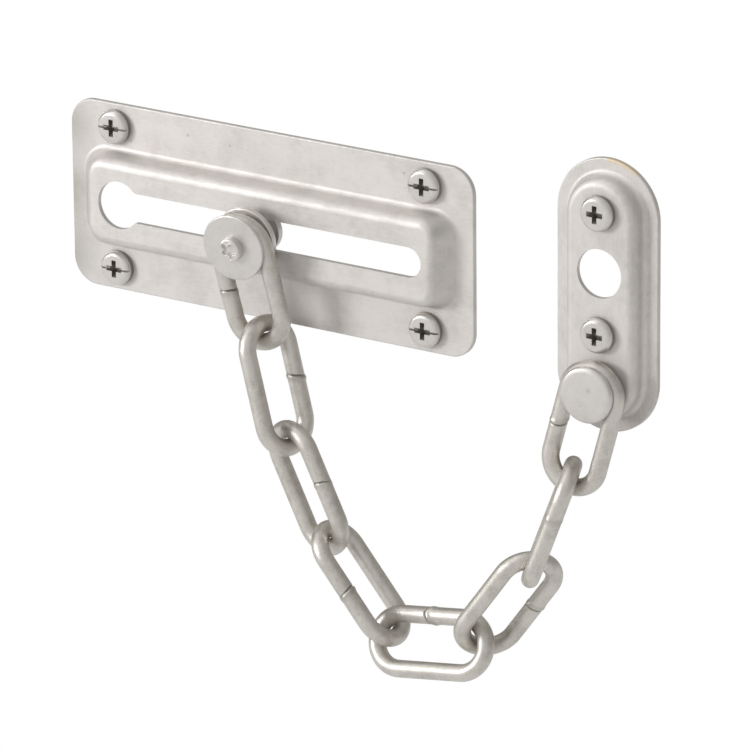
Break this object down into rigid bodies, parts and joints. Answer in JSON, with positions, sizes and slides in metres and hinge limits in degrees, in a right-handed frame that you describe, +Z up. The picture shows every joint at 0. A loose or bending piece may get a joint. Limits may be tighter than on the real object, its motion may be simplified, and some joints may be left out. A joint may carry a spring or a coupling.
{
  "type": "door chain",
  "caption": "Door chain with a slotted track plate, a headed slider, welded oval links and a round-ended keeper plate with a headed stud.",
  "frame": {"origin": "centre of the track plate's screw pattern, in the plane of the wall", "axes": "+X along the track from the keyhole to the keeper plate, -Y out of the wall, +Z up"},
  "size_m": [0.1509, 0.0261, 0.1231],
  "materials": {
    "plate_steel": "satin nickel plate",
    "screw_steel": "satin nickel plate",
    "stud_steel": "satin nickel plate",
    "slider_steel": "satin nickel plate",
    "chain_steel": "satin nickel plate"
  },
  "bodies": {
    "plates": {"track_plate": "plate_steel", "track_screw_1": "screw_steel", "track_screw_2": "screw_steel", "track_screw_3": "screw_steel", "track_screw_4": "screw_steel", "keeper_plate": "plate_steel", "keeper_screw_1": "screw_steel", "keeper_screw_2": "screw_steel", "keeper_stud": "stud_steel"},
    "slider": {"slider_pin": "slider_steel", "slider_inner_washer": "slider_steel", "slider_outer_washer": "slider_steel"},
    "link_1": {"chain_link_1": "chain_steel"},
    "link_2": {"chain_link_2": "chain_steel"},
    "link_3": {"chain_link_3": "chain_steel"},
    "link_4": {"chain_link_4": "chain_steel"},
    "link_5": {"chain_link_5": "chain_steel"},
    "link_6": {"chain_link_6": "chain_steel"},
    "link_7": {"chain_link_7": "chain_steel"},
    "link_8": {"chain_link_8": "chain_steel"}
  },
  "joints": [
    {"name": "slider_slide", "type": "slide", "parent": "plates", "child": "slider", "axis": [1, 0, 0], "range_m": [-0.0356, 0.0396]},
    {"name": "link_1_swing", "type": "hinge", "parent": "slider", "child": "link_1", "pos_m": [-0.00058, -0.01191, -0.00085], "axis": [0.0347, -0.9943, -0.1011], "range_deg": [-20.02, 18.03]},
    {"name": "link_8_swing", "type": "hinge", "parent": "plates", "child": "link_8", "pos_m": [0.0859, -0.0068, -0.0204], "axis": [0, -1, 0], "range_deg": [-29.78, 33.1]},
    {"name": "link_7_swing", "type": "hinge", "parent": "link_8", "child": "link_7", "pos_m": [0.08222, -0.00668, -0.03707], "axis": [0, -1, 0], "range_deg": [-14.11, 12.71]},
    {"name": "link_6_swing", "type": "hinge", "parent": "link_7", "child": "link_6", "pos_m": [0.07267, -0.00788, -0.06367], "axis": [0, -1, 0], "range_deg": [-12.95, 11.67]},
    {"name": "link_5_swing", "type": "hinge", "parent": "link_6", "child": "link_5", "pos_m": [0.05589, -0.00925, -0.08504], "axis": [0, -1, 0], "range_deg": [-6.75, 6.09]},
    {"name": "link_4_swing", "type": "hinge", "parent": "link_5", "child": "link_4", "pos_m": [0.03617, -0.00931, -0.08658], "axis": [0, -1, 0], "range_deg": [-7.37, 6.66]},
    {"name": "link_3_swing", "type": "hinge", "parent": "link_4", "child": "link_3", "pos_m": [0.01676, -0.00971, -0.06481], "axis": [0, -1, 0], "range_deg": [-4.19, 3.8]},
    {"name": "link_2_swing", "type": "hinge", "parent": "link_3", "child": "link_2", "pos_m": [0.00817, -0.00985, -0.04609], "axis": [-0.1191, -0.9929, 0], "range_deg": [-4.92, 4.45]}
  ],
  "couplings": [
    {"joint": "link_1_swing", "follows": "slider_slide", "rad_per_m": -8.6924},
    {"joint": "link_8_swing", "follows": "slider_slide", "rad_per_m": 14.454},
    {"joint": "link_7_swing", "follows": "slider_slide", "rad_per_m": -6.0853},
    {"joint": "link_6_swing", "follows": "slider_slide", "rad_per_m": -5.5764},
    {"joint": "link_5_swing", "follows": "slider_slide", "rad_per_m": -2.8406},
    {"joint": "link_4_swing", "follows": "slider_slide", "rad_per_m": -3.1176},
    {"joint": "link_3_swing", "follows": "slider_slide", "rad_per_m": -1.7147},
    {"joint": "link_2_swing", "follows": "slider_slide", "rad_per_m": -2.0354}
  ]
}
